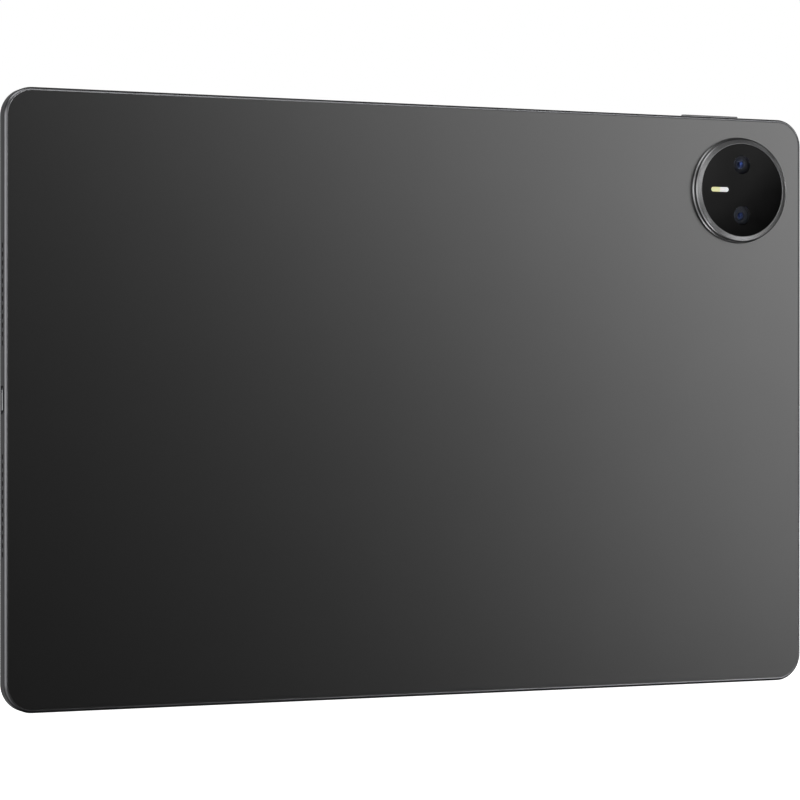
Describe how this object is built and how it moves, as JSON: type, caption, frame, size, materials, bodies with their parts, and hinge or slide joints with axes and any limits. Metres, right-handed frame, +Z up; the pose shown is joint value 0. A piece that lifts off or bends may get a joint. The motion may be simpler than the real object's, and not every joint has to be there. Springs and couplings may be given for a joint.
{
  "type": "tablet computer",
  "caption": "thin slate tablet computer with a flat satin metal back, a round raised camera ring in one corner, a volume key, a power button, a USB-C port and speaker grilles",
  "frame": {"origin": "on the flat of the bottom long edge, half way along it and half way through the body", "axes": "+X along the long edge towards the port edge, +Y from the screen to the rear cover, +Z up, with the tablet upright in landscape"},
  "size_m": [0.2896, 0.0082, 0.1967],
  "materials": {
    "anodised_frame": "bead-blasted and dark anodised",
    "anodised_cover": "fine satin, dark anodised",
    "anodised_keys": "dark anodised",
    "knurled_ring": "turned, fine diagonal knurl",
    "screen_glass": "strengthened glass over a black border",
    "camera_glass": "polished glass, printed black behind",
    "display": "switched off",
    "adhesive": "black double-sided tape",
    "gasket_rubber": "matte",
    "flash_lens": "frosted clear",
    "lens_glass": "coated blue",
    "camera_black": "matte black",
    "bare_steel": "bare",
    "port_plastic": "black moulded",
    "speaker_mesh": "woven, blackened",
    "speaker_case": "black moulded",
    "board": "solder-masked laminate",
    "chips": "moulded",
    "flexible_board": "amber film",
    "switch_domes": "bare",
    "battery_wrap": "black film over a pouch cell",
    "graphite": "pressed sheet",
    "magnet_metal": "nickel plated",
    "aerial_plastic": "plated plastic"
  },
  "bodies": {
    "tablet": {"aerials": "aerial_plastic", "battery_adhesive": "adhesive", "battery_board": "board", "battery_far_side": "battery_wrap", "battery_port_side": "battery_wrap", "board_screws": "bare_steel", "camera_bracket": "bare_steel", "camera_glass": "camera_glass", "camera_glass_adhesive": "adhesive", "camera_ring": "knurled_ring", "camera_ring_gasket": "gasket_rubber", "cover_glass": "screen_glass", "cover_magnets": "magnet_metal", "display_adhesive": "adhesive", "display_flex": "flexible_board", "display_panel": "display", "flash_board": "board", "flash_diffuser": "flash_lens", "flash_leds": "chips", "front_camera": "camera_black", "graphite_sheet": "graphite", "light_sensor": "camera_black", "link_flex": "flexible_board", "main_board": "board", "main_camera_housing": "camera_black", "main_camera_sensor": "board", "memory_chips": "chips", "memory_shield": "bare_steel", "microphones": "chips", "mid_frame": "anodised_frame", "pen_charging_coil": "aerial_plastic", "power_dome": "switch_domes", "power_flex": "flexible_board", "processor_chip": "chips", "processor_shield": "bare_steel", "radio_shield": "bare_steel", "rear_cover": "anodised_cover", "rear_cover_adhesive": "adhesive", "speaker_lower_far_side": "speaker_case", "speaker_lower_port_side": "speaker_case", "speaker_mesh_lower_far_side": "speaker_mesh", "speaker_mesh_lower_port_side": "speaker_mesh", "speaker_mesh_upper_far_side": "speaker_mesh", "speaker_mesh_upper_port_side": "speaker_mesh", "speaker_upper_far_side": "speaker_case", "speaker_upper_port_side": "speaker_case", "usb_board": "board", "usb_shell": "bare_steel", "usb_tongue": "port_plastic", "volume_domes": "switch_domes", "volume_flex": "flexible_board", "wide_camera_barrel": "camera_black", "wide_camera_housing": "camera_black", "wide_camera_lenses": "lens_glass", "wide_camera_sensor": "board"},
    "volume_key": {"volume_rocker": "anodised_keys"},
    "power_key": {"power_button": "anodised_keys"},
    "focus_carriage": {"main_camera_barrel": "camera_black", "main_camera_lenses": "lens_glass"}
  },
  "joints": [
    {"name": "volume_rock", "type": "hinge", "parent": "tablet", "child": "volume_key", "pos_m": [-0.10935, 0, 0.1932], "axis": [0, 1, 0], "range_deg": [-1.1, 1.1], "stiffness_Nm_per_rad": 0.6},
    {"name": "power_press", "type": "slide", "parent": "tablet", "child": "power_key", "axis": [1, 0, 0], "range_m": [0, 0.00025], "stiffness_N_per_m": 4000},
    {"name": "focus", "type": "slide", "parent": "tablet", "child": "focus_carriage", "axis": [0, 1, 0], "range_m": [0, 0.0003], "stiffness_N_per_m": 300}
  ]
}
